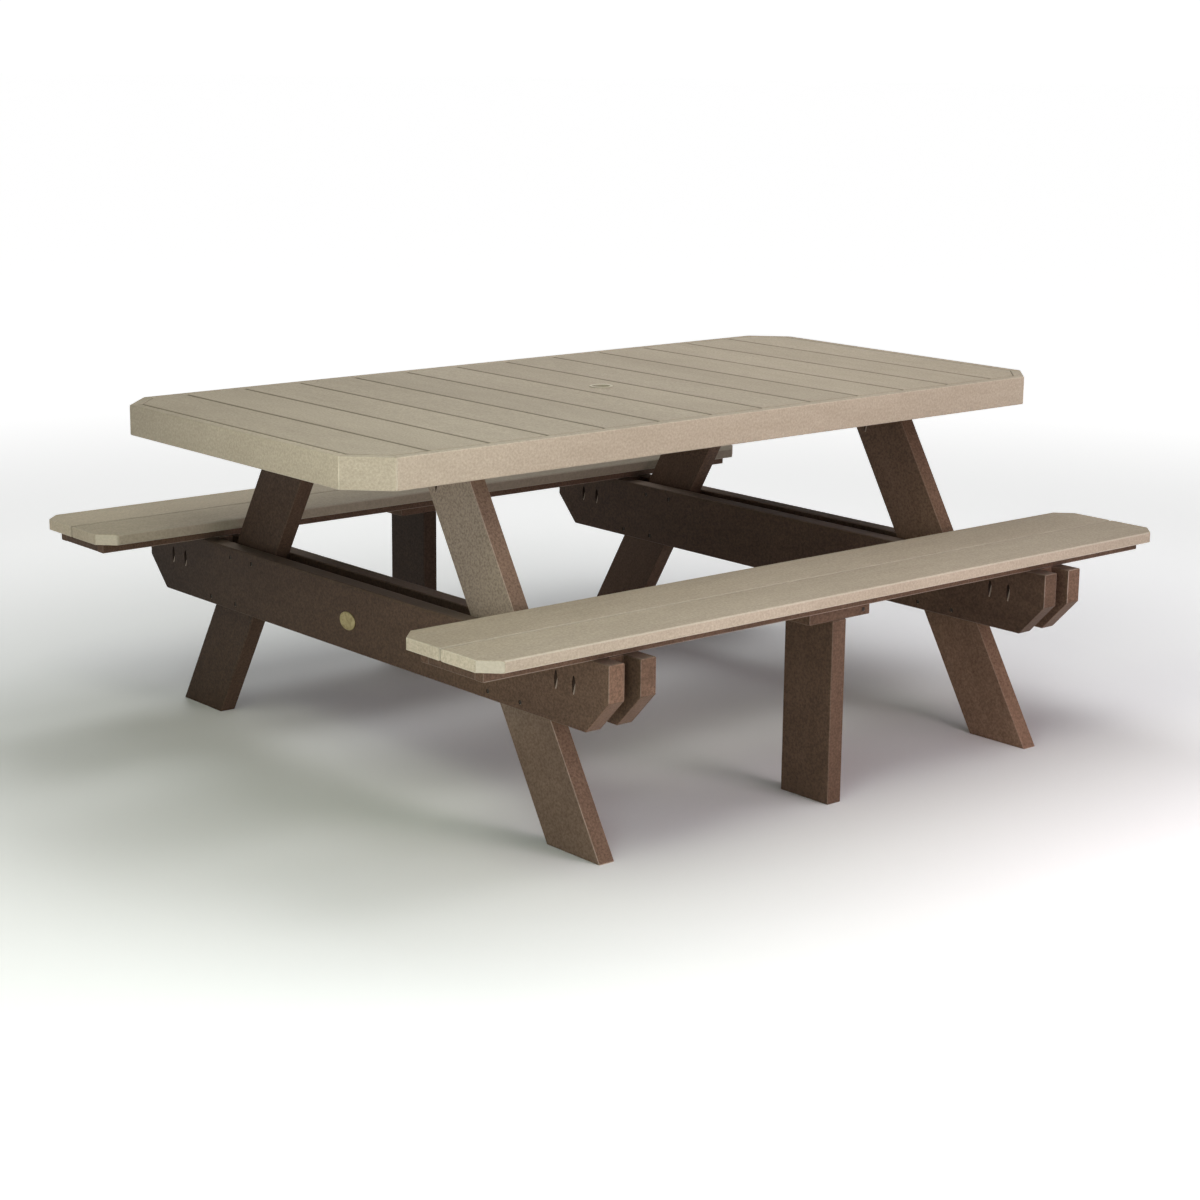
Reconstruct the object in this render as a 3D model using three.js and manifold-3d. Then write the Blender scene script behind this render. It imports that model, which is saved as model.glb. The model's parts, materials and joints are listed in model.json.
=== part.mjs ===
// A picnic table with a bench fixed on each side, built from flat boards of moulded plastic lumber.
// Millimetres, +Z up. X runs along the table, Y runs across it, and -Y is the front.
// The origin is on the ground under the middle of the table.
import * as THREE from 'three';
import { mergeVertices } from 'three/addons/utils/BufferGeometryUtils.js';
import Module from 'manifold-3d';

// ---- Driving dimensions ----

// Lumber
const THIN = 24; // table top, skirts, bench planks and their strips
const THICK = 38; // legs and beams
const BOARD_WIDTH = 139.7;
const EDGE_RADIUS = 3; // rounding of the long edges
const TOUCH = 0.3; // clearance between pieces that touch

// Table top
const TABLE_LENGTH = 1905;
const TABLE_WIDTH = 914.4;
const TABLE_HEIGHT = 762;
const TABLE_CORNER = 76.5; // how far a clipped corner runs along each side
const SKIRT_HEIGHT = 63.5;
const SKIRT_CLEARANCE = 1.5; // between the skirts and what they surround
const SLAT_COUNT = 13;
const SLAT_SEAM = 3.2;
const SLAT_EDGE_RADIUS = 1.5; // the slats have crisper edges than the other boards
const TOP_STRINGER_OFFSET = 247; // from the middle stringer to the front and back ones

// Umbrella hole
const HOLE_RADIUS = 19.5;
const RING_BARREL_RADIUS = 22.5;
const RING_FLANGE_RADIUS = 26;
const RING_FLANGE_THICKNESS = 1.5;
const POLE_CLEARANCE_RADIUS = 21;

// A-frames
const FRAME_OFFSET = 607; // from the middle of the table to the middle of each A-frame
const LEG_WIDTH = 136;
const LEG_FOOT_OUTER = 748; // outer edge of a foot, from the middle of the table
const LEG_SLOPE = 0.5925; // how far a leg moves inwards for each millimetre upwards
const BEAM_HEIGHT = 141;
const BEAM_HALF_LENGTH = 814;
const BEAM_CLIP_ACROSS = 66.5;
const BEAM_CLIP_UP = 69;
const SPACER_HEIGHT = 54;

// Benches
const SEAT_HEIGHT = 456;
const BENCH_LENGTH = 1880;
const BENCH_OUTER = 814; // outer edge, from the middle of the table
const BENCH_SEAM = 1.6;
const BENCH_EDGE_RADIUS = 5; // the seat planks have softer edges than the other boards
const BENCH_CORNER = 38;
const UNDERFRAME_HALF_LENGTH = 915.5;
const UNDERFRAME_OUTER = 768;
const UNDERFRAME_INNER = 581;
const SUPPORT_PLATE_LENGTH = 170;
const SUPPORT_OFFSET = -10; // the support legs stand a little off the middle
const SUPPORT_MIDDLE = 688; // from the middle of the table to the middle of a support leg

// Pocket holes for the screws that go up into the boards above
const POCKET_RADIUS = 4.75;
const POCKET_ANGLE = THREE.MathUtils.degToRad(15);
const POCKET_DEPTH = 32; // along the hole, from the face of the board to its blind end
const POCKET_RUN_OUT = 40; // how far the cutter reaches out of the board
const BEAM_POCKET_HEIGHT = 350;
const BEAM_POCKET_OFFSETS = [662, 714];
const LEG_POCKET_HEIGHT = 652;
const LEG_POCKET_OFFSET = 240;

// Counterbores for the screws that hold the beams to the legs, four where a beam crosses a leg
const COUNTERBORE_RADIUS = 4.75;
const COUNTERBORE_DEPTH = 3;
const CROSSING_SCREWS = [
  { offset: 555, height: 282 },
  { offset: 455, height: 282 },
  { offset: 471, height: 385 },
  { offset: 386, height: 385 },
];

// Badge
const BADGE_WIDTH = 55;
const BADGE_HEIGHT = 39;
const BADGE_THICKNESS = 1.6;
const BADGE_OFFSET = 18;
const BADGE_MIDDLE_HEIGHT = 330;

// Heights that follow from the rest, each at the top of its layer
const STRINGER_TOP = TABLE_HEIGHT - THIN - TOUCH;
const LEG_TOP = STRINGER_TOP - THIN - TOUCH;
const UNDERFRAME_TOP = SEAT_HEIGHT - THIN - TOUCH;
const BEAM_TOP = UNDERFRAME_TOP - THIN - TOUCH;
const SUPPORT_LEG_TOP = BEAM_TOP - THIN - TOUCH;

const BEIGE = { color: 0xa8a08c, roughness: 0.72, metalness: 0 };
const BROWN = { color: 0x4a3a33, roughness: 0.62, metalness: 0 };
const BRASS = { color: 0xb09a5c, roughness: 0.4, metalness: 1 };

const FRONT_AND_BACK = [
  { name: 'front', turn: Math.PI },
  { name: 'back', turn: 0 },
];
const LEFT_AND_RIGHT = [
  { name: 'left', sign: -1 },
  { name: 'right', sign: 1 },
];

const wasm = await Module();
wasm.setup();
const table = new THREE.Group();

// ---- Shapes and solids ----

// The closed solid of a three.js geometry.
function solidOf(geometry) {
  const bare = geometry.clone();
  bare.deleteAttribute('normal');
  bare.deleteAttribute('uv');
  const merged = mergeVertices(bare, 1e-3);
  const vertProperties = merged.attributes.position.array;
  const triVerts = new Uint32Array(merged.index.array);
  return new wasm.Manifold(new wasm.Mesh({ numProp: 3, vertProperties, triVerts }));
}

// The flat-shaded geometry of a solid.
function geometryOf(solid) {
  const { vertProperties, triVerts } = solid.getMesh();
  const indexed = new THREE.BufferGeometry();
  indexed.setAttribute('position', new THREE.BufferAttribute(vertProperties, 3));
  indexed.setIndex(new THREE.BufferAttribute(triVerts, 1));
  const flat = indexed.toNonIndexed();
  flat.computeVertexNormals();
  return flat;
}

// A rectangle with rounded corners, centred on the origin.
function roundedRectangle(width, height, radius) {
  const right = width / 2 - radius;
  const top = height / 2 - radius;
  const shape = new THREE.Shape();
  shape.absarc(right, top, radius, 0, Math.PI / 2);
  shape.absarc(-right, top, radius, Math.PI / 2, Math.PI);
  shape.absarc(-right, -top, radius, Math.PI, 1.5 * Math.PI);
  shape.absarc(right, -top, radius, 1.5 * Math.PI, 2 * Math.PI);
  return shape;
}

// The outline of a rectangle with its four corners clipped at 45 degrees, counter-clockwise from the front edge.
function clippedRectangle(halfLength, halfWidth, corner) {
  return [
    new THREE.Vector2(corner - halfLength, -halfWidth),
    new THREE.Vector2(halfLength - corner, -halfWidth),
    new THREE.Vector2(halfLength, corner - halfWidth),
    new THREE.Vector2(halfLength, halfWidth - corner),
    new THREE.Vector2(halfLength - corner, halfWidth),
    new THREE.Vector2(corner - halfLength, halfWidth),
    new THREE.Vector2(-halfLength, halfWidth - corner),
    new THREE.Vector2(-halfLength, corner - halfWidth),
  ];
}

// The clipped rectangle that lies a given distance inside another one.
function insetClippedRectangle(halfLength, halfWidth, corner, inset) {
  return clippedRectangle(halfLength - inset, halfWidth - inset, corner - (2 - Math.SQRT2) * inset);
}

// An outline in X and Y, extruded in Z and centred on the origin.
function uprightPrism(outline, height) {
  const geometry = new THREE.ExtrudeGeometry(new THREE.Shape(outline), { depth: height, bevelEnabled: false });
  return geometry.translate(0, 0, -height / 2);
}

// An outline in Y and Z, extruded in X and centred on the origin.
function sidewaysPrism(outline, thickness) {
  return uprightPrism(outline, thickness).rotateX(Math.PI / 2).rotateZ(Math.PI / 2);
}

// A board along X with rounded long edges, its width in Y and its thickness in Z, centred on the origin.
function board(length, width, thickness, radius = EDGE_RADIUS) {
  const section = roundedRectangle(width, thickness, radius);
  const geometry = new THREE.ExtrudeGeometry(section, { depth: length, bevelEnabled: false, curveSegments: 4 });
  return geometry.translate(0, 0, -length / 2).rotateX(Math.PI / 2).rotateZ(Math.PI / 2);
}

// A board that stands on its end along Z, its width in Y and its thickness in X.
function standingBoard(length, width, thickness) {
  return board(length, width, thickness).rotateY(-Math.PI / 2);
}

// A round cutter along Z, centred on the origin.
function drill(radius, length) {
  return new THREE.CylinderGeometry(radius, radius, length, 32).rotateX(Math.PI / 2);
}

// The cutter for a pocket hole in a face that looks along X, on the side given by the sign.
// It enters the face at the given place and climbs into the board.
function pocketCutter(sign, faceX, y, z) {
  const length = POCKET_RUN_OUT + POCKET_DEPTH;
  const cutter = new THREE.CylinderGeometry(POCKET_RADIUS, POCKET_RADIUS, length, 16).rotateX(Math.PI / 2);
  cutter.translate(0, 0, POCKET_DEPTH - length / 2);
  cutter.rotateY(-sign * POCKET_ANGLE);
  return solidOf(cutter.translate(faceX, y, z));
}

// The cutter for a counterbore in a face that looks along X.
function counterboreCutter(faceX, y, z) {
  const cutter = new THREE.CylinderGeometry(COUNTERBORE_RADIUS, COUNTERBORE_RADIUS, 2 * COUNTERBORE_DEPTH, 16);
  return solidOf(cutter.rotateZ(Math.PI / 2).translate(faceX, y, z));
}

// Adds one named piece to a group. The shape is a geometry.
function addPiece(group, name, geometry, look) {
  const mesh = new THREE.Mesh(geometry, new THREE.MeshStandardMaterial(look));
  mesh.name = name;
  group.add(mesh);
  return mesh;
}

// ---- Table top ----

// The boards across the table. The outline clips the corners of the two end boards.
function addSlats() {
  const inset = THIN + SKIRT_CLEARANCE;
  const outline = insetClippedRectangle(TABLE_LENGTH / 2, TABLE_WIDTH / 2, TABLE_CORNER, inset);
  const field = solidOf(uprightPrism(outline, 2 * THIN));
  const pitch = BOARD_WIDTH + SLAT_SEAM;
  for (let index = 0; index < SLAT_COUNT; index += 1) {
    const x = (index - (SLAT_COUNT - 1) / 2) * pitch;
    const plank = board(TABLE_WIDTH, BOARD_WIDTH, THIN, SLAT_EDGE_RADIUS).rotateZ(Math.PI / 2);
    let solid = solidOf(plank.translate(x, 0, 0)).intersect(field);
    if (x === 0) solid = solid.subtract(solidOf(drill(RING_BARREL_RADIUS + TOUCH, 2 * THIN)));
    const name = 'top_slat_' + String(index + 1).padStart(2, '0');
    addPiece(table, name, geometryOf(solid), BEIGE).position.z = TABLE_HEIGHT - THIN / 2;
  }
}

// A skirt board along X with its outer face towards -Y, mitred at both ends.
function mitredSkirt(length) {
  const mitre = Math.tan(Math.PI / 8);
  const half = (length - TOUCH) / 2;
  const reach = THIN * mitre;
  const ends = [
    new THREE.Vector2(-half - reach, -THIN),
    new THREE.Vector2(half + reach, -THIN),
    new THREE.Vector2(half - 2 * reach, 2 * THIN),
    new THREE.Vector2(-half + 2 * reach, 2 * THIN),
  ];
  const lying = board(length, THIN, SKIRT_HEIGHT).translate(0, THIN / 2, 0);
  return geometryOf(solidOf(lying).intersect(solidOf(uprightPrism(ends, 2 * SKIRT_HEIGHT))));
}

function addSkirts() {
  const sides = ['front', 'corner_front_right', 'right', 'corner_back_right'];
  sides.push('back', 'corner_back_left', 'left', 'corner_front_left');
  const outline = clippedRectangle(TABLE_LENGTH / 2, TABLE_WIDTH / 2, TABLE_CORNER);
  outline.forEach((start, index) => {
    const end = outline[(index + 1) % outline.length];
    const along = end.clone().sub(start);
    const skirt = addPiece(table, 'skirt_' + sides[index], mitredSkirt(along.length()), BEIGE);
    skirt.position.set((start.x + end.x) / 2, (start.y + end.y) / 2, TABLE_HEIGHT - SKIRT_HEIGHT / 2);
    skirt.rotation.z = along.angle();
  });
}

// The long boards under the slats. The middle one lets the umbrella pole through.
function addTopStringers() {
  const length = TABLE_LENGTH - 2 * (THIN + SKIRT_CLEARANCE);
  const places = { front: -TOP_STRINGER_OFFSET, middle: 0, back: TOP_STRINGER_OFFSET };
  for (const [name, y] of Object.entries(places)) {
    let solid = solidOf(board(length, BOARD_WIDTH, THIN));
    if (y === 0) solid = solid.subtract(solidOf(drill(POLE_CLEARANCE_RADIUS, 2 * THIN)));
    const stringer = addPiece(table, 'top_stringer_' + name, geometryOf(solid), BROWN);
    stringer.position.set(0, y, STRINGER_TOP - THIN / 2);
  }
}

// The ring that lines the umbrella hole: a barrel through the slat and a thin flange on top of it.
function addUmbrellaRing() {
  const top = TOUCH + RING_FLANGE_THICKNESS;
  const profile = [
    new THREE.Vector2(HOLE_RADIUS, -THIN),
    new THREE.Vector2(RING_BARREL_RADIUS, -THIN),
    new THREE.Vector2(RING_BARREL_RADIUS, TOUCH),
    new THREE.Vector2(RING_FLANGE_RADIUS, TOUCH),
    new THREE.Vector2(RING_FLANGE_RADIUS, top - 0.8),
    new THREE.Vector2(RING_FLANGE_RADIUS - 0.8, top),
    new THREE.Vector2(HOLE_RADIUS + 0.8, top),
    new THREE.Vector2(HOLE_RADIUS, top - 0.8),
    new THREE.Vector2(HOLE_RADIUS, -THIN),
  ];
  const ring = new THREE.LatheGeometry(profile, 32).rotateX(Math.PI / 2);
  addPiece(table, 'umbrella_ring', geometryOf(solidOf(ring)), BEIGE).position.z = TABLE_HEIGHT;
}

// ---- A-frames ----

// The back leg of an A-frame, leaning in towards the middle of the table, with a pocket hole in each face.
function leaningLeg() {
  const lean = Math.atan(LEG_SLOPE);
  const run = LEG_WIDTH / Math.cos(lean);
  const length = LEG_TOP / Math.cos(lean) + LEG_WIDTH;
  const middle = LEG_FOOT_OUTER - run / 2 - (LEG_SLOPE * LEG_TOP) / 2;
  const plank = standingBoard(length, LEG_WIDTH, THICK).rotateX(lean).translate(0, middle, LEG_TOP / 2);
  const slice = new THREE.BoxGeometry(2 * THICK, 2 * TABLE_WIDTH, LEG_TOP).translate(0, 0, LEG_TOP / 2);
  let solid = solidOf(plank).intersect(solidOf(slice));
  for (const { sign } of LEFT_AND_RIGHT) {
    solid = solid.subtract(pocketCutter(sign, (sign * THICK) / 2, LEG_POCKET_OFFSET, LEG_POCKET_HEIGHT));
  }
  return geometryOf(solid);
}

// A cross-beam along Y with its two lower corners clipped. The pocket holes and the counterbores are in the face
// on the side given by the sign.
function crossBeam(sign) {
  const face = (sign * THICK) / 2;
  const bottom = BEAM_TOP - BEAM_HEIGHT;
  const outline = [
    new THREE.Vector2(BEAM_CLIP_ACROSS - BEAM_HALF_LENGTH, bottom),
    new THREE.Vector2(BEAM_HALF_LENGTH - BEAM_CLIP_ACROSS, bottom),
    new THREE.Vector2(BEAM_HALF_LENGTH, bottom + BEAM_CLIP_UP),
    new THREE.Vector2(BEAM_HALF_LENGTH, BEAM_TOP + THICK),
    new THREE.Vector2(-BEAM_HALF_LENGTH, BEAM_TOP + THICK),
    new THREE.Vector2(-BEAM_HALF_LENGTH, bottom + BEAM_CLIP_UP),
  ];
  const lying = board(2 * BEAM_HALF_LENGTH + THICK, BEAM_HEIGHT, THICK).rotateX(Math.PI / 2).rotateZ(Math.PI / 2);
  lying.translate(0, 0, BEAM_TOP - BEAM_HEIGHT / 2);
  let solid = solidOf(lying).intersect(solidOf(sidewaysPrism(outline, 2 * THICK)));
  for (const half of [-1, 1]) {
    for (const offset of BEAM_POCKET_OFFSETS) {
      solid = solid.subtract(pocketCutter(sign, face, half * offset, BEAM_POCKET_HEIGHT));
    }
    for (const { offset, height } of CROSSING_SCREWS) {
      solid = solid.subtract(counterboreCutter(face, half * offset, height));
    }
  }
  return geometryOf(solid);
}

// One A-frame: two legs held between an outer and an inner beam, with spacers that close the gap under the benches.
function addFrame(side) {
  const frame = new THREE.Group();
  frame.position.x = side.sign * FRAME_OFFSET;
  const spacerLength = UNDERFRAME_OUTER - UNDERFRAME_INNER;
  for (const { name, turn } of FRONT_AND_BACK) {
    addPiece(frame, 'leg_' + side.name + '_' + name, leaningLeg(), BROWN).rotation.z = turn;
    const block = board(spacerLength, SPACER_HEIGHT, THICK).rotateX(Math.PI / 2).rotateZ(Math.PI / 2);
    block.translate(0, UNDERFRAME_INNER + spacerLength / 2, BEAM_TOP - SPACER_HEIGHT / 2);
    addPiece(frame, 'beam_spacer_' + side.name + '_' + name, block, BROWN).rotation.z = turn;
  }
  for (const [name, direction] of [['outer', side.sign], ['inner', -side.sign]]) {
    const beam = addPiece(frame, 'beam_' + side.name + '_' + name, crossBeam(direction), BROWN);
    beam.position.x = direction * (THICK + TOUCH);
  }
  table.add(frame);
}

// ---- Benches ----

// The two seat planks, clipped together at the four corners of the bench.
function addSeat(bench, name) {
  const width = 2 * BOARD_WIDTH + BENCH_SEAM;
  const outline = clippedRectangle(BENCH_LENGTH / 2, width / 2, BENCH_CORNER);
  const clip = solidOf(uprightPrism(outline, 2 * THIN));
  const shift = (BOARD_WIDTH + BENCH_SEAM) / 2;
  for (const [place, y] of [['outer', shift], ['inner', -shift]]) {
    const plank = board(BENCH_LENGTH + THIN, BOARD_WIDTH, THIN, BENCH_EDGE_RADIUS).translate(0, y, 0);
    const seat = addPiece(bench, 'seat_' + name + '_' + place, geometryOf(solidOf(plank).intersect(clip)), BEIGE);
    seat.position.set(0, BENCH_OUTER - width / 2, SEAT_HEIGHT - THIN / 2);
  }
}

// The frame under the planks: two long strips, two end strips and flat boards over the A-frames and the support.
function addUnderframe(bench, name) {
  const z = UNDERFRAME_TOP - THIN / 2;
  const middle = (UNDERFRAME_OUTER + UNDERFRAME_INNER) / 2;
  const reach = (UNDERFRAME_OUTER - UNDERFRAME_INNER - THIN) / 2;
  for (const [place, y] of [['outer', middle + reach], ['inner', middle - reach]]) {
    const strip = board(2 * UNDERFRAME_HALF_LENGTH, THIN, THIN);
    addPiece(bench, 'seat_stringer_' + name + '_' + place, strip, BROWN).position.set(0, y, z);
  }
  const crossLength = 2 * (reach - THIN / 2 - TOUCH);
  const crossPieces = [['seat_centre_board_' + name, SUPPORT_OFFSET, BOARD_WIDTH]];
  const turned = name === 'front' ? -1 : 1;
  for (const side of LEFT_AND_RIGHT) {
    const suffix = name + '_' + side.name;
    crossPieces.push(['seat_cross_board_' + suffix, side.sign * FRAME_OFFSET, BOARD_WIDTH]);
    crossPieces.push(['seat_end_strip_' + suffix, side.sign * (UNDERFRAME_HALF_LENGTH - THIN / 2), THIN]);
  }
  for (const [pieceName, x, width] of crossPieces) {
    const cross = board(crossLength, width, THIN).rotateZ(Math.PI / 2);
    addPiece(bench, pieceName, cross, BROWN).position.set(turned * x, middle, z);
  }
}

// The upright leg under the middle of a bench and the flat plate that spreads its load.
function addSupport(bench, name) {
  const turned = name === 'front' ? -1 : 1;
  const plate = board(SUPPORT_PLATE_LENGTH, LEG_WIDTH, THIN);
  const leg = standingBoard(SUPPORT_LEG_TOP, LEG_WIDTH, THICK);
  const x = turned * SUPPORT_OFFSET;
  addPiece(bench, 'support_plate_' + name, plate, BROWN).position.set(x, SUPPORT_MIDDLE, BEAM_TOP - THIN / 2);
  addPiece(bench, 'support_leg_' + name, leg, BROWN).position.set(x, SUPPORT_MIDDLE, SUPPORT_LEG_TOP / 2);
}

// A bench is laid out on the back side and turned round for the front side.
function addBench({ name, turn }) {
  const bench = new THREE.Group();
  addSeat(bench, name);
  addUnderframe(bench, name);
  addSupport(bench, name);
  bench.rotation.z = turn;
  table.add(bench);
}

// ---- Badge ----

// A plain oval plate on the outer face of the left outer beam.
function addBadge() {
  const oval = new THREE.Shape();
  oval.absellipse(0, 0, BADGE_WIDTH / 2, BADGE_HEIGHT / 2, 0, 2 * Math.PI);
  const plate = new THREE.ExtrudeGeometry(oval, { depth: BADGE_THICKNESS, bevelEnabled: false, curveSegments: 32 });
  plate.rotateX(Math.PI / 2).rotateZ(-Math.PI / 2);
  const beamFace = -FRAME_OFFSET - 1.5 * THICK - TOUCH;
  const badge = addPiece(table, 'badge_plate', plate, BRASS);
  badge.position.set(beamFace - TOUCH, BADGE_OFFSET, BADGE_MIDDLE_HEIGHT);
}

addSlats();
addSkirts();
addTopStringers();
addUmbrellaRing();
LEFT_AND_RIGHT.forEach(addFrame);
FRONT_AND_BACK.forEach(addBench);
addBadge();

export default table;
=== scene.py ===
"""The look of a picnic table with two fixed benches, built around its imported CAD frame.

Metres, +Z up, in the frame of the CAD model: X runs along the table and -Y is the front.
"""
import json
import math
import random

import bmesh
import bpy
from mathutils import Matrix, Vector


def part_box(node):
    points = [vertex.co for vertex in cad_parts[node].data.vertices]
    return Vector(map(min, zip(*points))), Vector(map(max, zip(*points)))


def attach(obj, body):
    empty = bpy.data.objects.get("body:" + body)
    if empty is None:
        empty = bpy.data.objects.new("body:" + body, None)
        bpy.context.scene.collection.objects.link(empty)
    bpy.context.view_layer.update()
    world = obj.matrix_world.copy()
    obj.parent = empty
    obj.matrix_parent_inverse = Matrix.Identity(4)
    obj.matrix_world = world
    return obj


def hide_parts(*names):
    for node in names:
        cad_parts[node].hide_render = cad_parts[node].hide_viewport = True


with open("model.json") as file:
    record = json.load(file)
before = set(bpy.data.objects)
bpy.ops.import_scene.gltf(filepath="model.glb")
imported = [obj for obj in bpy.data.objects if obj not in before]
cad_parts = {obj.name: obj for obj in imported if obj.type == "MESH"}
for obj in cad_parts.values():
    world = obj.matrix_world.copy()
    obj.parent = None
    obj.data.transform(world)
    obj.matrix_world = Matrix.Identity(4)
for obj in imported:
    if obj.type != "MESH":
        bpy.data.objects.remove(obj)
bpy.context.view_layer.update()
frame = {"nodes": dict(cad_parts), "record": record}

RANDOM = random.Random(29)

X, Y, Z = Vector((1, 0, 0)), Vector((0, 1, 0)), Vector((0, 0, 1))

# Board edges
WELD = 1e-5
CUT_EDGE = 0.0014  # rounding of the sawn edges
HOLE_EDGE = 0.0003  # rounding where a drilled hole meets a face
SAWN_AREA = 0.0003  # sawn faces are larger than this, and the rounded edges beside them smaller
SHARP_ANGLE = math.radians(35)
FLAT_ANGLE = math.radians(0.5)
LEG_END_LENGTH = 0.1581  # the length along Y of the level end of a leaning leg

# Holes, as the CAD model drills them
POCKET_ANGLE = math.radians(15)
POCKET_DEPTH = 0.032
BEAM_POCKET_HEIGHT = 0.350
BEAM_POCKET_OFFSETS = (0.662, 0.714)
LEG_POCKET_HEIGHT = 0.652
LEG_POCKET_OFFSET = 0.240
COUNTERBORE_DEPTH = 0.003
CROSSING_SCREWS = ((0.555, 0.282), (0.455, 0.282), (0.471, 0.385), (0.386, 0.385))
HOLE_REACH = 0.026  # edges and faces nearer than this to a hole's centre belong to the hole
RING_BORE = 0.0195

# Colours of the lumber: its darkest and lightest plastic, a pale colour for scuffed edges, dusty tops and
# painted highlights, a painted sheen and painted shade
BEIGE = {
    "dark": (0.335, 0.280, 0.211), "light": (0.405, 0.343, 0.264), "wear_and_highlight": (0.54, 0.49, 0.40),
    "painted_sheen": (0.5, 0.47, 0.4), "painted_shade": (0.150, 0.122, 0.085),
}
BROWN = {
    "dark": (0.082, 0.049, 0.032), "light": (0.118, 0.073, 0.049), "wear_and_highlight": (0.42, 0.335, 0.275),
    "painted_sheen": (0.30, 0.25, 0.195), "painted_shade": (0.02, 0.012, 0.008),
}

# How light a board is beside the rest of its colour: mostly painted light and shade, darker for boards in
# shade under the table and lighter for lit ones
BOARD_TONES_AND_PAINTED_LIGHT = {
    "leg_left_front": 1.42, "leg_right_front": 1.5, "leg_left_back": 0.65,
    "beam_right_inner": 0.78, "beam_left_outer": 0.84,
    "support_leg_front": 1.08, "support_leg_back": 0.5,
    "skirt_front": 1.03, "skirt_left": 1.06, "skirt_corner_front_left": 1.07,
    "seat_back_outer": 0.98, "seat_back_inner": 0.93, "seat_front_outer": 0.98,
    "top_slat_05": 0.97, "top_slat_06": 0.97, "top_slat_07": 0.97, "top_slat_08": 0.98,
    "top_slat_10": 1.04, "top_slat_11": 1.05, "top_slat_12": 1.06, "top_slat_13": 1.05,
}
# Painted light: how much a board lightens, or darkens below zero, from its middle to the end that its first
# axis points at, as the light falls off along it
PAINTED_LIGHT_FADES = {
    "beam_left_outer": -0.55, "skirt_left": -0.17, "leg_right_front": -0.4, "seat_back_outer": -0.3,
    "seat_back_inner": -0.3, "seat_front_outer": -0.05,
}
# A painted sheen on a board's wide faces, in place of the reflection of the bright surroundings
PAINTED_SHEEN = {"leg_left_front": 0.62}
# How scuffed a board's edges are, with a painted highlight along them
EDGE_WEAR_AND_HIGHLIGHT = {
    "leg_left_front": 1.4, "skirt_corner_front_left": 1.0, "beam_right_inner": 1.2, "beam_right_outer": 1.2,
}
SLAT_EDGE_WEAR_AND_HIGHLIGHT = 0.2
BEIGE_EDGE_WEAR_AND_HIGHLIGHT = 1.0
BROWN_EDGE_WEAR_AND_HIGHLIGHT = 0.35
# Painted shade along a board's upper and lower side and at its ends, where it meets a neighbour and shade
# falls in the gap
SLAT_JOINT_SHADE = (0.62, 0.62, 0.25)
SEAT_JOINT_SHADE = {
    "seat_front_inner": (0.0, 0.2, 0.0), "seat_front_outer": (0.2, 0.0, 0.0),
    "seat_back_inner": (0.6, 0.4, 0.3), "seat_back_outer": (0.0, 0.6, 0.3),
}
# Painted shade along the inner face of the long and of the short skirts, where the top boards meet them
LONG_SKIRT_SHADE = 0.3
SHORT_SKIRT_SHADE = 0.55
# How much paler, or darker below zero, some faces are: painted highlights, dusty beam tops with painted
# light, and painted shade in holes
CLIP_HIGHLIGHT = {"seat_": 0.6, "beam_": 0.08}  # a painted highlight on the sawn-off corners, by the start of the board's name
BEAM_TOP_DUST_AND_LIGHT = 0.5  # the tops of the beams, paler with dust and painted light
HOLE_FLOOR_HIGHLIGHT = 1.0  # a painted highlight on the floor of a drilled hole
# Painted shade on the sides of a drilled hole
HOLE_SIDE_SHADE = -0.8

# Screws
PAN_RADIUS = 0.0042
PAN_HEIGHT = 0.0022
PAN_SIDES = 24
# Shares of the radius and of the height, for the round head and for the square socket in it
PAN_PROFILE = ((1.0, 0.0), (1.0, 0.35), (0.9, 0.72), (0.62, 0.95), (0.4, 1.0))
SOCKET_PROFILE = ((0.26, 1.0), (0.26, 0.3))
PLATE_SCREW_OFFSET = 0.066
SINK = 0.0001  # how deep a head is sunk into the face it rests on

# Ring and badge
SIDES = 96  # of the large round shapes
FLANGE_WIDTH = 0.0035  # how far the flange stands out from the barrel
FLANGE_THICKNESS = 0.0015
FLANGE_ROUNDING = 0.0009
BORE_ROUNDING = 0.0012
BADGE_PROFILE = (  # inset from the rim, and the share of the plate's thickness reached there
    (0.0, 0.0), (0.0, 0.62), (0.0004, 0.86), (0.0010, 0.98), (0.0016, 1.0), (0.0022, 0.98), (0.0028, 0.86),
    (0.0032, 0.66), (0.0038, 0.60), (0.0060, 0.64), (0.0100, 0.69), (0.0150, 0.72),
)

# Studio
AIM = Vector((0, 0, 0.45))
SOFTBOXES = (  # name, place, size, power and colour
    ("left_low_softbox", (-2.2, -2.3, 0.5), 0.8, 11.2, (0.893, 1.0, 0.911)),
    ("left_near_softbox", (-1.9, -1.7, 1.2), 0.7, 5.0, (0.75, 0.95, 1.0)),
    ("low_front_softbox", (0.2, -2.6, 0.6), 0.8, 17.8, (1.0, 0.83, 0.89)),
    ("high_front_softbox", (0.4, -3.0, 2.4), 1.2, 13.0, (1.0, 0.915, 0.96)),
    ("right_front_softbox", (2.2, -2.6, 2.4), 1.2, 6.8, (1.0, 0.84, 0.956)),
    ("over_back_softbox", (1.0, 1.8, 3.2), 1.4, 31.8, (0.965, 1.0, 0.994)),
    ("over_left_softbox", (-2.5, -0.3, 2.8), 1.4, 16.6, (0.958, 1.0, 0.80)),
    ("over_near_left_softbox", (-1.9, -1.1, 2.2), 0.8, 11.1, (0.928, 1.0, 0.79)),
    ("over_middle_softbox", (0.8, 0.0, 2.6), 1.4, 14.5, (0.947, 0.97, 1.0)),
    ("over_front_softbox", (0.8, -1.4, 3.0), 1.2, 20.4, (1.0, 0.985, 0.99)),
)
FLOOR_RADIUS = 60
AIR_GLOW = (0.03, 0.15, 1.05, 0.1)  # between these heights of the view direction, from this strength to that
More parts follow.
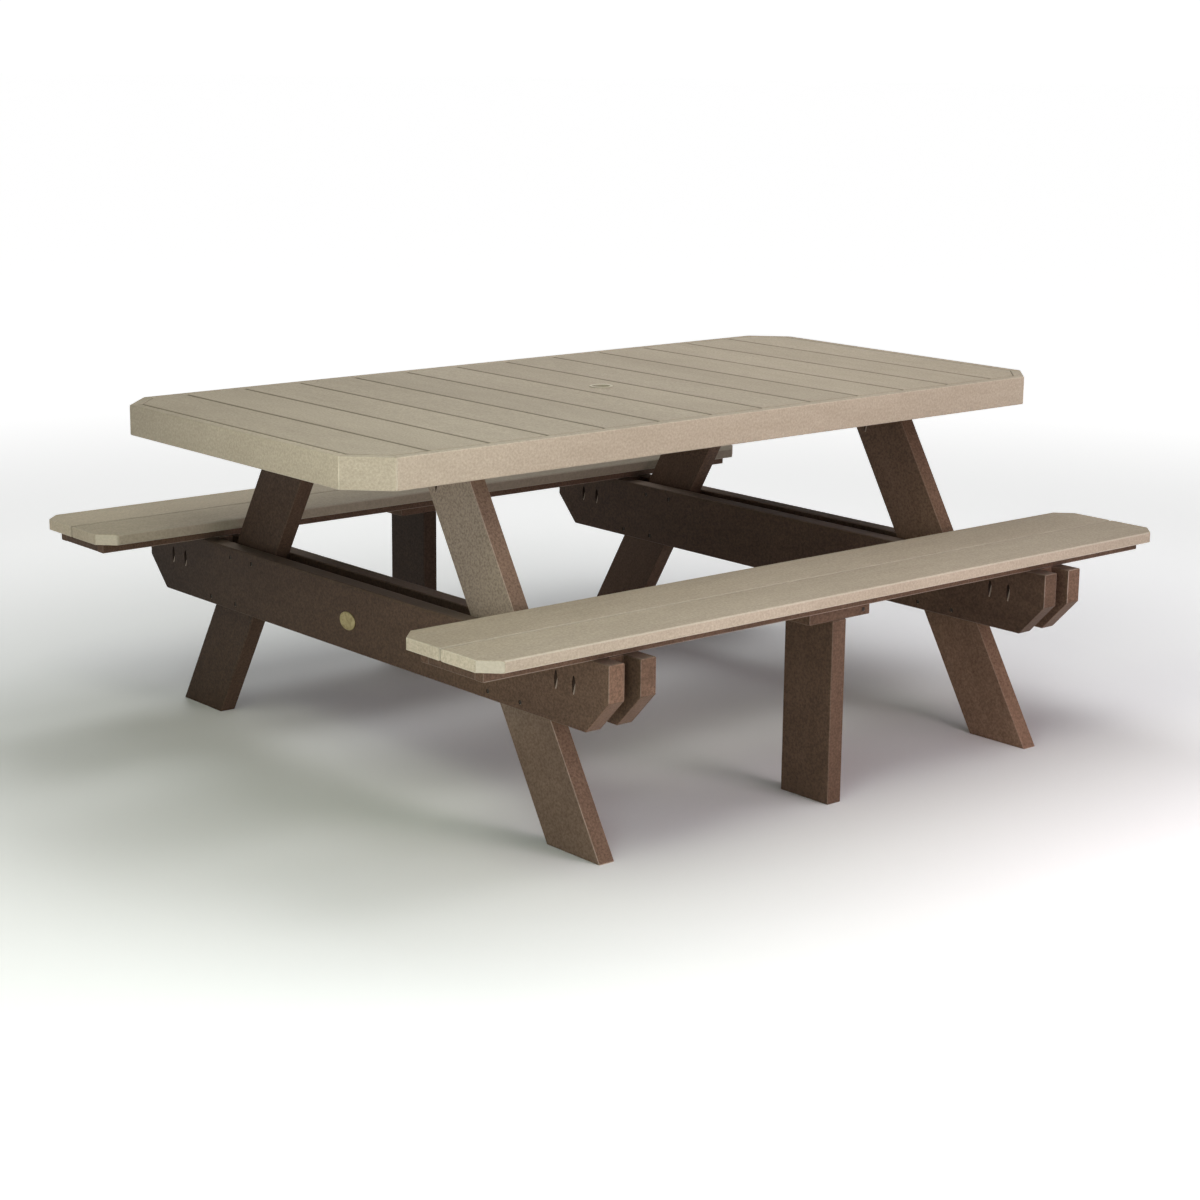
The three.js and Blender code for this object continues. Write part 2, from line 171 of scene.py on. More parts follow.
CAMERA_PLACE = (-3.4679, -4.0923, 1.5546)
CAMERA_YAW, CAMERA_PITCH, CAMERA_ROLL = (math.radians(angle) for angle in (40.276, -12.868, 0.575))


# ---- Meshes ----

def new_piece(name, mesh, material, slot, *nodes):
    """Links a mesh as a piece of the table, in place of the CAD nodes that are named."""
    data = bpy.data.meshes.new(name)
    mesh.to_mesh(data)
    mesh.free()
    data.materials.append(material)
    data.shade_smooth()
    piece = bpy.data.objects.new(name, data)
    bpy.context.scene.collection.objects.link(piece)
    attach(piece, "root")
    if nodes:
        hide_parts(*nodes)
    return piece


def keep_flats_flat(piece):
    """Lets the large faces set the shading, so that only the rounded edges shade round."""
    weighted = piece.modifiers.new("weighted_normals", "WEIGHTED_NORMAL")
    weighted.mode = "FACE_AREA"
    weighted.weight = 80
    weighted.keep_sharp = True


def soften(mesh, edges, width, segments):
    """Rounds some edges of a mesh."""
    if edges:
        bmesh.ops.bevel(
            mesh, geom=edges, offset=width, segments=segments, profile=0.5, affect="EDGES",
            clamp_overlap=True,
        )


def circle(sides):
    """The cosine and sine of evenly spaced angles round a circle."""
    angles = [2 * math.pi * step / sides for step in range(sides)]
    return [(math.cos(angle), math.sin(angle)) for angle in angles]


def join_rings(mesh, rings):
    """Joins each ring of points to the next one with faces."""
    for lower, upper in zip(rings, rings[1:]):
        for step in range(len(lower)):
            after = (step + 1) % len(lower)
            mesh.faces.new((lower[step], lower[after], upper[after], upper[step]))


def softened_copy(node, holes):
    """The CAD node's surface with its facets welded, and its sawn and drilled edges softened."""
    mesh = bmesh.new()
    mesh.from_mesh(frame["nodes"][node].data)
    bmesh.ops.remove_doubles(mesh, verts=mesh.verts, dist=WELD)
    bmesh.ops.dissolve_limit(mesh, angle_limit=FLAT_ANGLE, verts=mesh.verts, edges=mesh.edges)
    drilled, sawn = [], []
    for edge in mesh.edges:
        if not edge.is_manifold or edge.calc_face_angle() < SHARP_ANGLE:
            continue
        middle = (edge.verts[0].co + edge.verts[1].co) / 2
        near_hole = any((middle - hole).length < HOLE_REACH for hole in holes)
        (drilled if near_hole else sawn).append(edge)
    soften(mesh, sawn, CUT_EDGE, 3)
    drilled = [edge for edge in drilled if edge.is_valid and edge.is_convex]
    soften(mesh, drilled, HOLE_EDGE, 1)
    return mesh


def board_axes(node):
    """The direction in which a board was extruded, and the directions of its width and thickness."""
    low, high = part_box(node)
    size = high - low
    if node.startswith("leg_"):
        side = 1 if low.y + high.y > 0 else -1
        run = size.y - LEG_END_LENGTH
        along = Vector((0, -side * run, size.z)).normalized()
        return along, along.cross(X).normalized(), X
    if "corner" in node:
        sign = -1 if (low.x + high.x) * (low.y + high.y) > 0 else 1
        along = Vector((1, sign, 0)).normalized()
        return along, Z, along.cross(Z)
    if node.startswith(("seat_cross", "seat_centre")):
        return Y, X, Z
    order = sorted(zip(size, (X, Y, Z)), key=lambda pair: -pair[0])
    return order[0][1], order[1][1], order[2][1]


def write_board_coordinates(piece, axes, tone_sheen_and_edges, joints, inner_joint, light_fade):
    """Stores each point's place in its own board, the board's half size, and its own tone with painted
    light, painted sheen, edge highlight, painted shade and end-to-end painted light.
    """
    points = [vertex.co for vertex in piece.data.vertices]
    along = [[point.dot(axis) for axis in axes] for point in points]
    low = [min(column) for column in zip(*along)]
    high = [max(column) for column in zip(*along)]
    middle = [(a + b) / 2 for a, b in zip(low, high)]
    half = [(b - a) / 2 for a, b in zip(low, high)]
    seed = [RANDOM.uniform(0, 20) for _ in range(3)]
    places, halves, seeds = [], [], []
    for place in along:
        places += [value - centre for value, centre in zip(place, middle)]
        halves += half
        seeds += seed
    for name, values in (("board_place", places), ("board_half", halves), ("board_seed", seeds)):
        layer = piece.data.attributes.new(name, "FLOAT_VECTOR", "POINT")
        layer.data.foreach_set("vector", values)
    for name, value in (("board_tone_sheen_and_edges", tone_sheen_and_edges), ("board_joints", joints)):
        layer = piece.data.attributes.new(name, "FLOAT_VECTOR", "POINT")
        layer.data.foreach_set("vector", list(value) * len(points))
    for name, value in (("board_inner_joint", inner_joint), ("board_painted_light_fade", light_fade)):
        layer = piece.data.attributes.new(name, "FLOAT", "POINT")
        layer.data.foreach_set("value", [value] * len(points))


# ---- Shader building ----

class Shader:
    """A node tree with short calls for the nodes that the materials use."""

    def __init__(self, name):
        self.material = bpy.data.materials.new(name)
        self.material.use_nodes = True
        self.tree = self.material.node_tree
        self.tree.nodes.clear()
        self.surface = self.tree.nodes.new("ShaderNodeBsdfPrincipled")
        output = self.tree.nodes.new("ShaderNodeOutputMaterial")
        self.tree.links.new(self.surface.outputs[0], output.inputs[0])

    def put(self, socket, value):
        """Sets a socket to a constant, or links it to another socket."""
        if isinstance(value, bpy.types.NodeSocket):
            self.tree.links.new(value, socket)
        elif value is not None:
            socket.default_value = value

    def attribute(self, name, output="Vector"):
        node = self.tree.nodes.new("ShaderNodeAttribute")
        node.attribute_name = name
        return node.outputs[output]

    def math(self, operation, *values, clamp=False):
        node = self.tree.nodes.new("ShaderNodeMath")
        node.operation = operation
        node.use_clamp = clamp
        for socket, value in zip(node.inputs, values):
            self.put(socket, value)
        return node.outputs[0]

    def vector(self, operation, *values, output="Vector"):
        node = self.tree.nodes.new("ShaderNodeVectorMath")
        node.operation = operation
        for socket, value in zip(node.inputs, values):
            self.put(socket, value)
        return node.outputs[output]

    def split(self, vector):
        node = self.tree.nodes.new("ShaderNodeSeparateXYZ")
        self.put(node.inputs[0], vector)
        return node.outputs

    def noise(self, place, scale, detail=2.0, roughness=0.5):
        node = self.tree.nodes.new("ShaderNodeTexNoise")
        self.put(node.inputs["Vector"], place)
        self.put(node.inputs["Scale"], scale)
        self.put(node.inputs["Detail"], detail)
        self.put(node.inputs["Roughness"], roughness)
        return node.outputs["Fac"]

    def cells(self, place, scale, smoothness=0.6):
        node = self.tree.nodes.new("ShaderNodeTexVoronoi")
        node.feature = "SMOOTH_F1"
        self.put(node.inputs["Vector"], place)
        self.put(node.inputs["Scale"], scale)
        self.put(node.inputs["Smoothness"], smoothness)
        return node.outputs["Distance"]

    def spread(self, value, low, high, to_low=0.0, to_high=1.0):
        """Maps a value from one range to another with a smooth start and end."""
        node = self.tree.nodes.new("ShaderNodeMapRange")
        node.interpolation_type = "SMOOTHSTEP"
        for socket, given in zip(node.inputs, (value, low, high, to_low, to_high)):
            self.put(socket, given)
        return node.outputs[0]

    def mix(self, factor, first, second, blend="MIX"):
        node = self.tree.nodes.new("ShaderNodeMix")
        node.data_type = "RGBA"
        node.blend_type = blend
        self.put(node.inputs["Factor"], factor)
        colours = [socket for socket in node.inputs if socket.type == "RGBA"]
        for socket, value in zip(colours, (first, second)):
            self.put(socket, (*value, 1) if isinstance(value, tuple) else value)
        return next(socket for socket in node.outputs if socket.type == "RGBA")

    def gray(self, value):
        """A grey colour from a number."""
        node = self.tree.nodes.new("ShaderNodeCombineColor")
        for socket in node.inputs:
            self.put(socket, value)
        return node.outputs[0]

    def bump(self, height, distance, strength=1.0, normal=None):
        node = self.tree.nodes.new("ShaderNodeBump")
        self.put(node.inputs["Height"], height)
        self.put(node.inputs["Distance"], distance)
        self.put(node.inputs["Strength"], strength)
        self.put(node.inputs["Normal"], normal)
        return node.outputs[0]

    def finish(self, colour, roughness, normal, metallic=0.0, specular=0.5):
        self.put(self.surface.inputs["Base Color"], colour)
        self.put(self.surface.inputs["Roughness"], roughness)
        self.put(self.surface.inputs["Normal"], normal)
        self.surface.inputs["Metallic"].default_value = metallic
        self.surface.inputs["Specular IOR Level"].default_value = specular
        return self.material


# ---- Materials ----

def joint_painted_shade(s, place, half, to_ends, blotches):
    """How much painted shade a point takes, close to the sides, ends and inner face where its board meets a
    neighbour.
    """
    joints = s.split(s.attribute("board_joints"))
    _, across, through = s.split(place)
    _, half_width, half_thickness = s.split(half)
    ragged = s.math("MULTIPLY", s.math("SUBTRACT", blotches, 0.5), 0.0008)
    to_upper = s.math("ADD", s.math("SUBTRACT", half_width, across), ragged)
    to_lower = s.math("ADD", s.math("ADD", half_width, across), ragged)
    upper = s.math("MULTIPLY", joints[0], s.spread(to_upper, 0.0012, 0.0058, 1.0, 0.0))
    lower = s.math("MULTIPLY", joints[1], s.spread(to_lower, 0.0012, 0.0058, 1.0, 0.0))
    ends = s.math("MULTIPLY", joints[2], s.spread(to_ends, 0.0004, 0.0012, 1.0, 0.0))

    inner_joint = s.attribute("board_inner_joint", "Fac")
    towards_inner = s.math("MULTIPLY", through, s.math("SIGN", inner_joint))
    to_inner = s.math("ADD", s.math("SUBTRACT", half_thickness, towards_inner), ragged)
    inner = s.spread(to_inner, 0.0010, 0.0022, 1.0, 0.0)
    inner = s.math("MULTIPLY", s.math("ABSOLUTE", inner_joint), inner)
    return s.math("MAXIMUM", s.math("MAXIMUM", upper, lower), s.math("MAXIMUM", ends, inner))


def lumber(name, paint, gloss, shine, contrast, pebble_depth):
    """Moulded plastic lumber: a pebbled skin, slow shifts of tone, scuffed edges with painted highlights, a
    painted sheen, end-to-end painted light and painted shade at the joints.
    """
    s = Shader(name)
    place = s.attribute("board_place")
    half = s.attribute("board_half")
    own = s.vector("ADD", place, s.attribute("board_seed"))
    stretched = s.vector("MULTIPLY", own, (0.35, 1.0, 1.0))
    board_tone_and_light, sheen_strength, edge_wear_and_highlight = s.split(s.attribute("board_tone_sheen_and_edges"))
    along, half_length = s.split(place)[0], s.split(half)[0]

    # How far a point is from its board's ends, wide faces and nearest edge
    inside = s.split(s.vector("SUBTRACT", half, s.vector("ABSOLUTE", place)))
    near = s.math("MINIMUM", inside[0], inside[1])
    far = s.math("MAXIMUM", inside[0], inside[1])
    to_edge = s.math("MAXIMUM", near, s.math("MINIMUM", far, inside[2]))
    sawn_end = s.spread(inside[0], 0.0001, 0.0006, 1.0, 0.0)
    wide_face = s.spread(inside[2], 0.0002, 0.0010, 1.0, 0.2)

    clouds = s.noise(stretched, 5.0, 3.0, 0.55)
    blotches = s.noise(stretched, 38.0, 3.0, 0.6)
    streaks = s.noise(s.vector("MULTIPLY", own, (0.04, 1.0, 1.0)), 150.0, 2.0)
    grains = s.noise(own, 620.0, 2.0, 0.6)
    pebbles = s.noise(own, 200.0, 2.0, 0.5)

    # The plastic itself, in slow shifts of tone with a fine speckle
    tone = s.math("ADD", s.spread(clouds, 0.3, 0.7, 0.0, 0.5), s.spread(blotches, 0.3, 0.7, 0.0, 0.3))
    tone = s.math("ADD", tone, s.math("MULTIPLY", streaks, 0.2))
    colour = s.mix(tone, paint["dark"], paint["light"])
    speckle = s.math("ADD", s.math("MULTIPLY", grains, 0.4), s.math("MULTIPLY", pebbles, 0.6))
    specks = s.gray(s.spread(speckle, 0.25, 0.75, 1.0 - contrast, 1.0 + contrast))
    colour = s.mix(1.0, colour, specks, "MULTIPLY")

    # A painted sheen on the wide faces, strongest towards the end that the first axis points at, and scuffed
    # edges with a painted highlight
    far_end = s.spread(along, -0.22, 0.1, 0.2, 1.0)
    painted_sheen = s.math("MULTIPLY", s.math("MULTIPLY", sheen_strength, wide_face), far_end)
    painted_sheen = s.math("MULTIPLY", painted_sheen, s.spread(speckle, 0.3, 0.65, 0.45, 1.0))
    colour = s.mix(painted_sheen, colour, paint["painted_sheen"])
    edge_lightening = s.math("ADD", to_edge, s.math("MULTIPLY", s.math("SUBTRACT", blotches, 0.5), 0.003))
    patches = s.spread(blotches, 0.35, 0.6, 0.3, 1.0)
    edge_lightening = s.math("MULTIPLY", s.spread(edge_lightening, 0.0004, 0.0022, 0.6, 0.0), patches)
    colour = s.mix(s.math("MULTIPLY", edge_lightening, edge_wear_and_highlight), colour, paint["wear_and_highlight"])

    # This board's own tone with painted light and shade, its lightening or darkening from end to end, which
    # is painted light, and its fresher sawn ends
    fresh = s.math("ADD", 1.0, s.math("MULTIPLY", sawn_end, 0.25))
    end_to_end = s.math("DIVIDE", along, half_length)
    light_faded = s.math("ADD", 1.0, s.math("MULTIPLY", s.attribute("board_painted_light_fade", "Fac"), end_to_end))
    tone = s.math("MULTIPLY", s.math("MULTIPLY", board_tone_and_light, light_faded), fresh)
    colour = s.mix(1.0, colour, s.gray(tone), "MULTIPLY")

    # Single faces painted paler, with painted highlights on sawn-off corners and hole floors and dusty beam
    # tops with painted light, or darker, with painted shade on the sides of a hole; and then the painted
    # shade at the joints
    face_light_and_dust = s.attribute("board_face_light_and_dust", "Fac")
    colour = s.mix(s.math("MULTIPLY", face_light_and_dust, 0.7, clamp=True), colour, paint["wear_and_highlight"])
    colour = s.mix(s.math("MULTIPLY", face_light_and_dust, -1.0, clamp=True), colour, paint["painted_shade"])
    colour = s.mix(joint_painted_shade(s, place, half, inside[0], blotches), colour, paint["painted_shade"])

    height = s.math("ADD", s.math("MULTIPLY", pebbles, 0.6), s.math("MULTIPLY", grains, 0.5))
    skin = s.bump(height, pebble_depth, 0.9)
    waves = s.bump(s.noise(stretched, 11.0, 1.0), 0.0012, 0.25, skin)
    saw_marks = s.noise(s.vector("MULTIPLY", own, (1.0, 0.15, 1.0)), 900.0, 1.0)
    normal = s.bump(s.math("MULTIPLY", saw_marks, sawn_end), 0.0002, 0.6, waves)

    roughness = s.math("ADD", gloss, s.math("MULTIPLY", s.math("SUBTRACT", grains, 0.5), 0.25))
    roughness = s.math("ADD", roughness, s.math("MULTIPLY", sawn_end, 0.1), clamp=True)
    return s.finish(colour, roughness, normal, specular=shine)


def moulded_plastic():
    """The smooth beige plastic of the umbrella ring."""
    s = Shader("ring_plastic")
    place = s.tree.nodes.new("ShaderNodeTexCoord").outputs["Object"]
    clouds = s.noise(place, 60.0, 3.0)
    grains = s.noise(place, 1400.0, 2.0)
    colour = s.mix(clouds, (0.47, 0.41, 0.31), (0.56, 0.50, 0.39))
    colour = s.mix(s.spread(grains, 0.45, 0.7, 0.0, 0.25), colour, (0.30, 0.26, 0.19))
    roughness = s.spread(grains, 0.2, 0.8, 0.34, 0.5)
    return s.finish(colour, roughness, s.bump(grains, 0.0001, 0.4))


def brass():
    """Dull, lightly tarnished brass."""
    s = Shader("badge_brass")
    place = s.tree.nodes.new("ShaderNodeTexCoord").outputs["Object"]
    tarnish = s.noise(place, 90.0, 4.0, 0.65)
    hammer = s.cells(place, 700.0)
    brushed = s.noise(s.vector("MULTIPLY", place, (1.0, 0.06, 1.0)), 2600.0, 2.0)
    colour = s.mix(s.spread(tarnish, 0.35, 0.68), (0.30, 0.24, 0.105), (0.50, 0.42, 0.23))
    dulled = s.spread(tarnish, 0.3, 0.7, 0.36, 0.55)
    roughness = s.math("ADD", dulled, s.math("MULTIPLY", brushed, 0.08))
    height = s.math("ADD", s.math("MULTIPLY", hammer, 0.7), s.math("MULTIPLY", brushed, 0.3))
    return s.finish(colour, roughness, s.bump(height, 0.00015, 0.5), metallic=0.85)


def screw_steel():
    """Coated steel screws, dull and slightly scuffed."""
    s = Shader("screw_steel")
    place = s.tree.nodes.new("ShaderNodeTexCoord").outputs["Object"]
    scuffs = s.noise(place, 900.0, 4.0, 0.7)
    colour = s.mix(s.spread(scuffs, 0.4, 0.65), (0.022, 0.017, 0.013), (0.11, 0.095, 0.08))
    roughness = s.spread(scuffs, 0.3, 0.7, 0.38, 0.58)
    return s.finish(colour, roughness, s.bump(scuffs, 0.00008, 0.5), metallic=0.8)


def studio_floor_paint():
    """The pale matt floor of the studio, which glows softly far from the table like a lit backdrop."""
    s = Shader("studio_floor")
    place = s.tree.nodes.new("ShaderNodeTexCoord").outputs["Object"]
    clouds = s.noise(place, 0.8, 2.0)
    colour = s.mix(clouds, (0.84, 0.84, 0.84), (0.86, 0.86, 0.86))
    distance = s.vector("LENGTH", place, output="Value")
    s.surface.inputs["Emission Color"].default_value = (1.0, 1.0, 1.0, 1)
    near_glow = s.spread(distance, 0.8, 2.6, 0.0, 0.45)
    far_glow = s.spread(distance, 2.2, 5.5, 0.0, 0.45)
    s.put(s.surface.inputs["Emission Strength"], s.math("ADD", near_glow, far_glow))
    return s.finish(colour, 0.7, s.bump(s.noise(place, 300.0), 0.0002, 0.2), specular=0.2)


# ---- Boards ----

def pocket_places():
    """Where each pocket hole enters its board: the node, the place, and the sign of the face along X."""
    places = []
    for side, frame_sign in (("left", -1), ("right", 1)):
        for name, sign in (("outer", frame_sign), ("inner", -frame_sign)):
            node = f"beam_{side}_{name}"
            low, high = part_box(node)
            face = high.x if sign > 0 else low.x
            for offset in BEAM_POCKET_OFFSETS:
                for y in (-offset, offset):
                    places.append((node, Vector((face, y, BEAM_POCKET_HEIGHT)), sign))
        for end, y in (("front", -LEG_POCKET_OFFSET), ("back", LEG_POCKET_OFFSET)):
            node = f"leg_{side}_{end}"
            low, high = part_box(node)
            for face, sign in ((low.x, -1), (high.x, 1)):
                places.append((node, Vector((face, y, LEG_POCKET_HEIGHT)), sign))
    return places


def counterbore_places():
    """Where the screws through the beams sit: the node, the place, and the sign of the face along X."""
    places = []
    for side, frame_sign in (("left", -1), ("right", 1)):
        for name, sign in (("outer", frame_sign), ("inner", -frame_sign)):
            node = f"beam_{side}_{name}"
            low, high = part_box(node)
            face = high.x if sign > 0 else low.x
            for offset, height in CROSSING_SCREWS:
                for y in (-offset, offset):
                    places.append((node, Vector((face, y, height)), sign))
    return places


POCKETS = pocket_places()
COUNTERBORES = counterbore_places()

SLOT_OF = {row["node"]: row["material_slot"] for row in frame["record"]["subparts"]}


def joints_of(node):
    """The painted shade of a board along its upper and lower side and at its ends, where it meets a
    neighbour.
    """
    if node.startswith("top_slat"):
        return SLAT_JOINT_SHADE
    return SEAT_JOINT_SHADE.get(node, (0.0, 0.0, 0.0))


def inner_joint_of(node):
    """The painted shade of a skirt along its inner face, with that face's sign along the board's third axis.
    """
    if not node.startswith("skirt_"):
        return 0.0
    low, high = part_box(node)
    inward = -(low + high) / 2
    inward.z = 0
    sign = 1 if inward.dot(board_axes(node)[2]) > 0 else -1
    return sign * (LONG_SKIRT_SHADE if node in ("skirt_front", "skirt_back") else SHORT_SKIRT_SHADE)


def edge_wear_and_highlight_of(node):
    """How scuffed the edges of a board are, with a painted highlight."""
    if node in EDGE_WEAR_AND_HIGHLIGHT:
        return EDGE_WEAR_AND_HIGHLIGHT[node]
    if node.startswith("top_slat"):
        return SLAT_EDGE_WEAR_AND_HIGHLIGHT
    return BEIGE_EDGE_WEAR_AND_HIGHLIGHT if SLOT_OF[node] == "beige_lumber" else BROWN_EDGE_WEAR_AND_HIGHLIGHT


def mark_face_light_and_dust(piece, holes, clip_highlight, dust_and_light):
    """Marks single faces as paler, with painted highlights on sawn-off corners and hole floors and with
    painted light on dusty beam tops, or as darker, with painted shade on the sides of a hole.
    """
    layer = piece.data.attributes.new("board_face_light_and_dust", "FLOAT", "FACE")
    values = []
    for face in piece.data.polygons:
        near_hole = any((face.center - hole).length < HOLE_REACH for hole in holes)
        drilled = near_hole and abs(face.normal.x) < 0.999  # anything but the flat face around the hole
        sawn = face.area > SAWN_AREA
        diagonal = sorted(abs(part) for part in face.normal)[1] > 0.45
        upward = face.normal.z > 0.95
        # Painted highlight on a hole's floor, painted shade on its sides, dusty beam tops with painted light
        # and painted highlights on sawn-off corners
        if drilled:
            values.append(HOLE_FLOOR_HIGHLIGHT if abs(face.normal.y) < 0.3 else HOLE_SIDE_SHADE)
        elif sawn and upward:
            values.append(dust_and_light)
        else:
            values.append(clip_highlight if sawn and diagonal else 0.0)
    layer.data.foreach_set("value", values)


def make_boards():
    """Every board of the table, each in place of its CAD node."""
    paints = {
        "beige_lumber": lumber(
            "beige_lumber", BEIGE, gloss=0.58, shine=0.16, contrast=0.19, pebble_depth=0.0007),
        "brown_lumber": lumber(
            "brown_lumber", BROWN, gloss=0.5, shine=0.07, contrast=0.36, pebble_depth=0.0008),
    }
    holes = {}
    for node, place, _ in POCKETS + COUNTERBORES:
        holes.setdefault(node, []).append(place)
    for node in sorted(frame["nodes"]):
        slot = SLOT_OF[node]
        if slot not in paints:
            continue
        own_holes = holes.get(node, [])
        piece = new_piece(node + "_board", softened_copy(node, own_holes), paints[slot], slot, node)
        keep_flats_flat(piece)
        # The board's tone with painted light and shade, painted sheen, scuffed edges with painted highlight
        # and painted shade at the joints
        tone = BOARD_TONES_AND_PAINTED_LIGHT.get(node, 1.0) * RANDOM.uniform(0.97, 1.03)
        tone_sheen_and_edges = (tone, PAINTED_SHEEN.get(node, 0.0), edge_wear_and_highlight_of(node))
        clip_light = next((pale for start, pale in CLIP_HIGHLIGHT.items() if node.startswith(start)), 0.0)
        mark_face_light_and_dust(piece, own_holes, clip_light, BEAM_TOP_DUST_AND_LIGHT if node.startswith("beam_") else 0.0)
        write_board_coordinates(
            piece, board_axes(node), tone_sheen_and_edges, joints_of(node), inner_joint_of(node), PAINTED_LIGHT_FADES.get(node, 0.0))


# ---- Screws ----

def add_head(mesh, place, axis):
    """A pan head with a square socket, its underside at a place and its top along an axis."""
    turn = axis.to_track_quat("Z", "Y").to_matrix()
    outline = circle(PAN_SIDES)
    square = [(x / max(abs(x), abs(y)), y / max(abs(x), abs(y))) for x, y in outline]
    rings = []
    for shape, profile in ((outline, PAN_PROFILE), (square, SOCKET_PROFILE)):
        for reach, rise in profile:
            radius, height = reach * PAN_RADIUS, rise * PAN_HEIGHT
            spots = [Vector((radius * x, radius * y, height)) for x, y in shape]
            rings.append([mesh.verts.new(place + turn @ spot) for spot in spots])
    join_rings(mesh, rings)
    mesh.faces.new(rings[-1])
    mesh.faces.new(reversed(rings[0]))


def screw_group(name, spots, material):
    """One piece that holds the heads at several spots, each a place and a direction."""
    mesh = bmesh.new()
    for place, axis in spots:
        add_head(mesh, place, axis)
    return new_piece(name, mesh, material, "screw_steel")


def make_screws():
    """The heads in every pocket hole, in every counterbore and on the ends of the support plates."""
    steel = screw_steel()
    spots = {}
    for node, place, sign in POCKETS:
        climb = Vector((-sign * math.sin(POCKET_ANGLE), 0, math.cos(POCKET_ANGLE)))
        spots.setdefault(node, []).append((place + climb * (POCKET_DEPTH - SINK), -climb))
    for node, place, sign in COUNTERBORES:
        outward = sign * X
        spots.setdefault(node, []).append((place - outward * (COUNTERBORE_DEPTH - SINK), outward))
    for node, sign in (("support_plate_front", -1), ("support_plate_back", 1)):
        low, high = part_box(node)
        face = low.y if sign < 0 else high.y
        middle = (low + high) / 2
        place = Vector((middle.x - sign * PLATE_SCREW_OFFSET, face, middle.z))
        spots.setdefault(node, []).append((place - sign * SINK * Y, sign * Y))
    for node in sorted(spots):
        screw_group(node + "_screws", spots[node], steel)


# ---- Ring and badge ----

def make_ring():
    """The umbrella ring, turned as one smooth profile."""
    low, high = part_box("umbrella_ring")
    centre = (low + high) / 2
    flange = (high.x - low.x) / 2
    barrel = flange - FLANGE_WIDTH
    seat = high.z - FLANGE_THICKNESS
    shoulder = high.z - FLANGE_ROUNDING
    profile = [(RING_BORE, low.z), (barrel, low.z), (barrel, seat), (flange, seat), (flange, shoulder)]
    for step in range(1, 6):
        angle = step * math.pi / 10
        inset, rise = FLANGE_ROUNDING * (1 - math.cos(angle)), FLANGE_ROUNDING * math.sin(angle)
        profile.append((flange - inset, shoulder + rise))
    for step in range(6):
        angle = step * math.pi / 10
        inset, drop = BORE_ROUNDING * (1 - math.sin(angle)), BORE_ROUNDING * (1 - math.cos(angle))
        profile.append((RING_BORE + inset, high.z - drop))
    mesh = bmesh.new()
    rings = [
        [mesh.verts.new((centre.x + radius * x, centre.y + radius * y, height)) for x, y in circle(SIDES)]
        for radius, height in profile
    ]
    join_rings(mesh, rings + rings[:1])
    bmesh.ops.remove_doubles(mesh, verts=mesh.verts, dist=WELD)
    piece = new_piece("umbrella_ring_lining", mesh, moulded_plastic(), "ring_plastic", "umbrella_ring")
    keep_flats_flat(piece)


def make_badge():
    """A blank oval plate with a raised rim and a slightly domed field."""
    low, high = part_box("badge_plate")
    centre = (low + high) / 2
    thickness = high.x - low.x
    half_width, half_height = (high.y - low.y) / 2, (high.z - low.z) / 2
    mesh = bmesh.new()
    rings = []
    for inset, rise in BADGE_PROFILE:
        x = high.x - rise * thickness
        wide, tall = half_width - inset, half_height - inset
        spots = [(x, centre.y + wide * u, centre.z + tall * v) for u, v in circle(SIDES)]
        rings.append([mesh.verts.new(spot) for spot in spots])
    join_rings(mesh, rings)
    mesh.faces.new(rings[-1])
    mesh.faces.new(rings[0])
    bmesh.ops.recalc_face_normals(mesh, faces=mesh.faces)
    new_piece("badge_oval", mesh, brass(), "badge_metal", "badge_plate")


# ---- Studio ----

def make_floor():
    """A wide plain disc under the table."""
    mesh = bmesh.new()
    bmesh.ops.create_circle(mesh, cap_ends=True, radius=FLOOR_RADIUS, segments=SIDES)
    data = bpy.data.meshes.new("studio_floor")
    mesh.to_mesh(data)
    mesh.free()
    data.materials.append(studio_floor_paint())
    floor = bpy.data.objects.new("studio_floor", data)
    bpy.context.scene.collection.objects.link(floor)


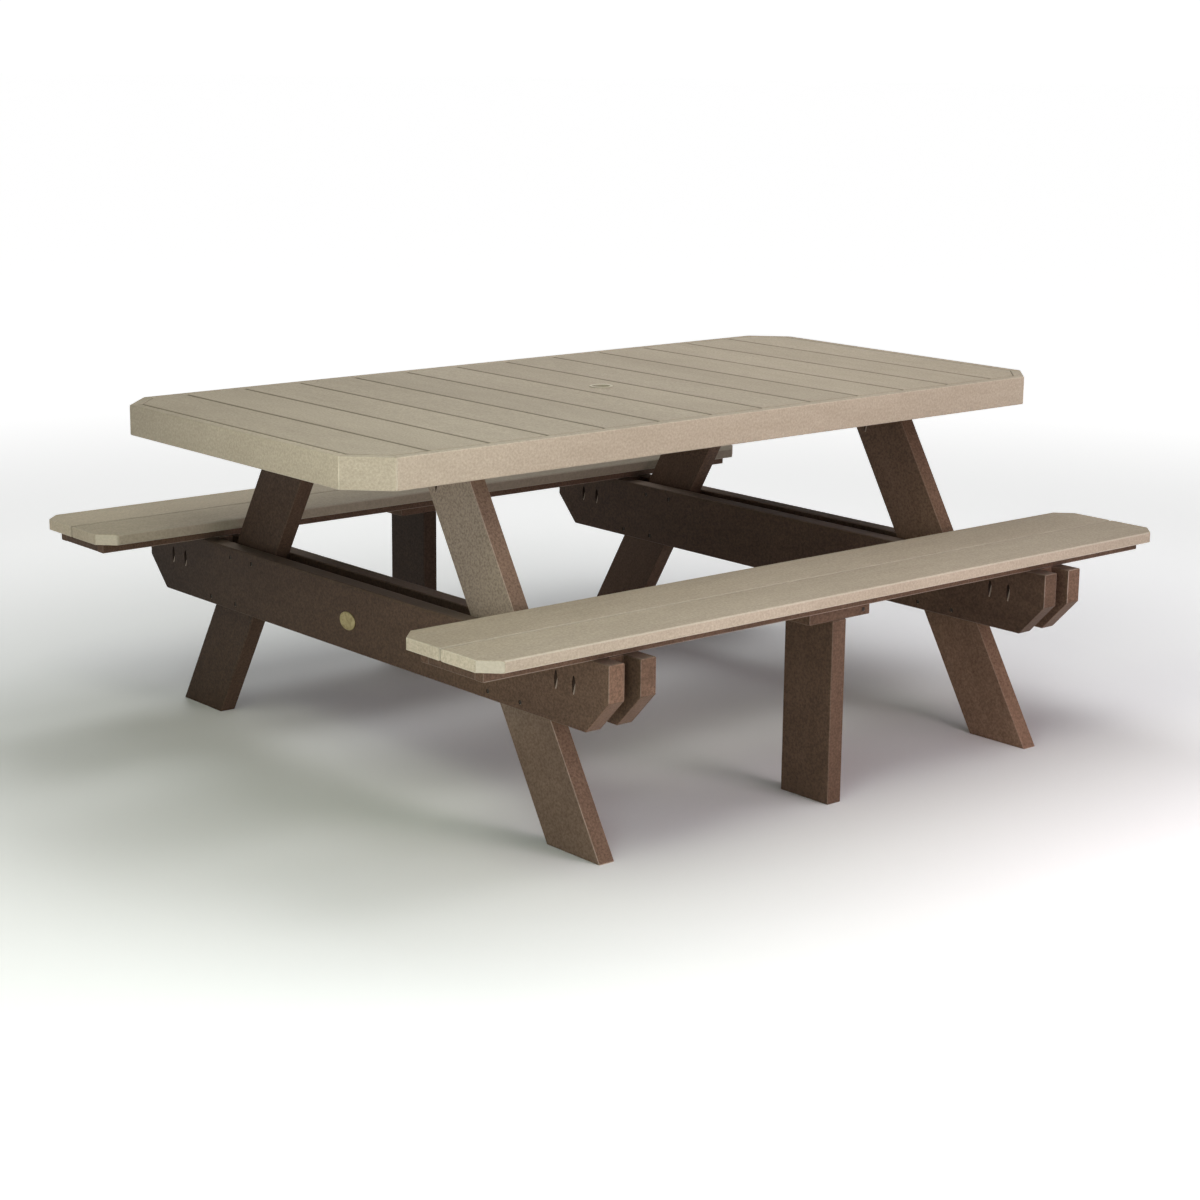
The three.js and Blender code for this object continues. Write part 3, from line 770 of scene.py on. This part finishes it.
def add_softbox(name, place, size, power, colour):
    """A square area light that faces the middle of the table."""
    light = bpy.data.lights.new(name, "AREA")
    light.size = size
    light.energy = power
    light.color = colour
    lamp = bpy.data.objects.new(name, light)
    lamp.location = place
    lamp.rotation_euler = (AIM - lamp.location).to_track_quat("-Z", "Y").to_euler()
    lamp.visible_camera = False
    bpy.context.scene.collection.objects.link(lamp)


def make_lights():
    """The softboxes, seen without a film-like tone curve."""
    for name, place, size, power, colour in SOFTBOXES:
        add_softbox(name, place, size, power, colour)
    bpy.context.scene.view_settings.view_transform = "Standard"


def make_air():
    """The white surroundings, bright near the horizon and dim above."""
    world = bpy.data.worlds.new("studio_air")
    world.use_nodes = True
    tree = world.node_tree
    direction = tree.nodes.new("ShaderNodeTexCoord").outputs["Generated"]
    split = tree.nodes.new("ShaderNodeSeparateXYZ")
    tree.links.new(direction, split.inputs[0])
    glow = tree.nodes.new("ShaderNodeMapRange")
    glow.interpolation_type = "SMOOTHSTEP"
    for socket, value in zip(glow.inputs[1:5], AIR_GLOW):
        socket.default_value = value
    tree.links.new(split.outputs[2], glow.inputs[0])
    background = tree.nodes["Background"]
    background.inputs["Color"].default_value = (1.0, 1.0, 1.0, 1)
    tree.links.new(glow.outputs[0], background.inputs["Strength"])
    bpy.context.scene.world = world


def make_camera():
    """The viewpoint: in front of the left end, a little above the table top."""
    data = bpy.data.cameras.new("camera")
    data.sensor_width = 36
    data.lens = 73.99
    data.shift_x = 0.0008
    data.shift_y = -0.0176
    data.clip_end = 200
    camera = bpy.data.objects.new("camera", data)
    heading = Matrix.Rotation(-CAMERA_YAW, 4, "Z")
    tilt = Matrix.Rotation(math.pi / 2 + CAMERA_PITCH, 4, "X")
    roll = Matrix.Rotation(CAMERA_ROLL, 4, "Z")
    camera.matrix_world = Matrix.Translation(CAMERA_PLACE) @ heading @ tilt @ roll
    bpy.context.scene.collection.objects.link(camera)
    bpy.context.scene.camera = camera


make_camera()
make_boards()
make_screws()
make_ring()
make_badge()
make_floor()
make_lights()
make_air()
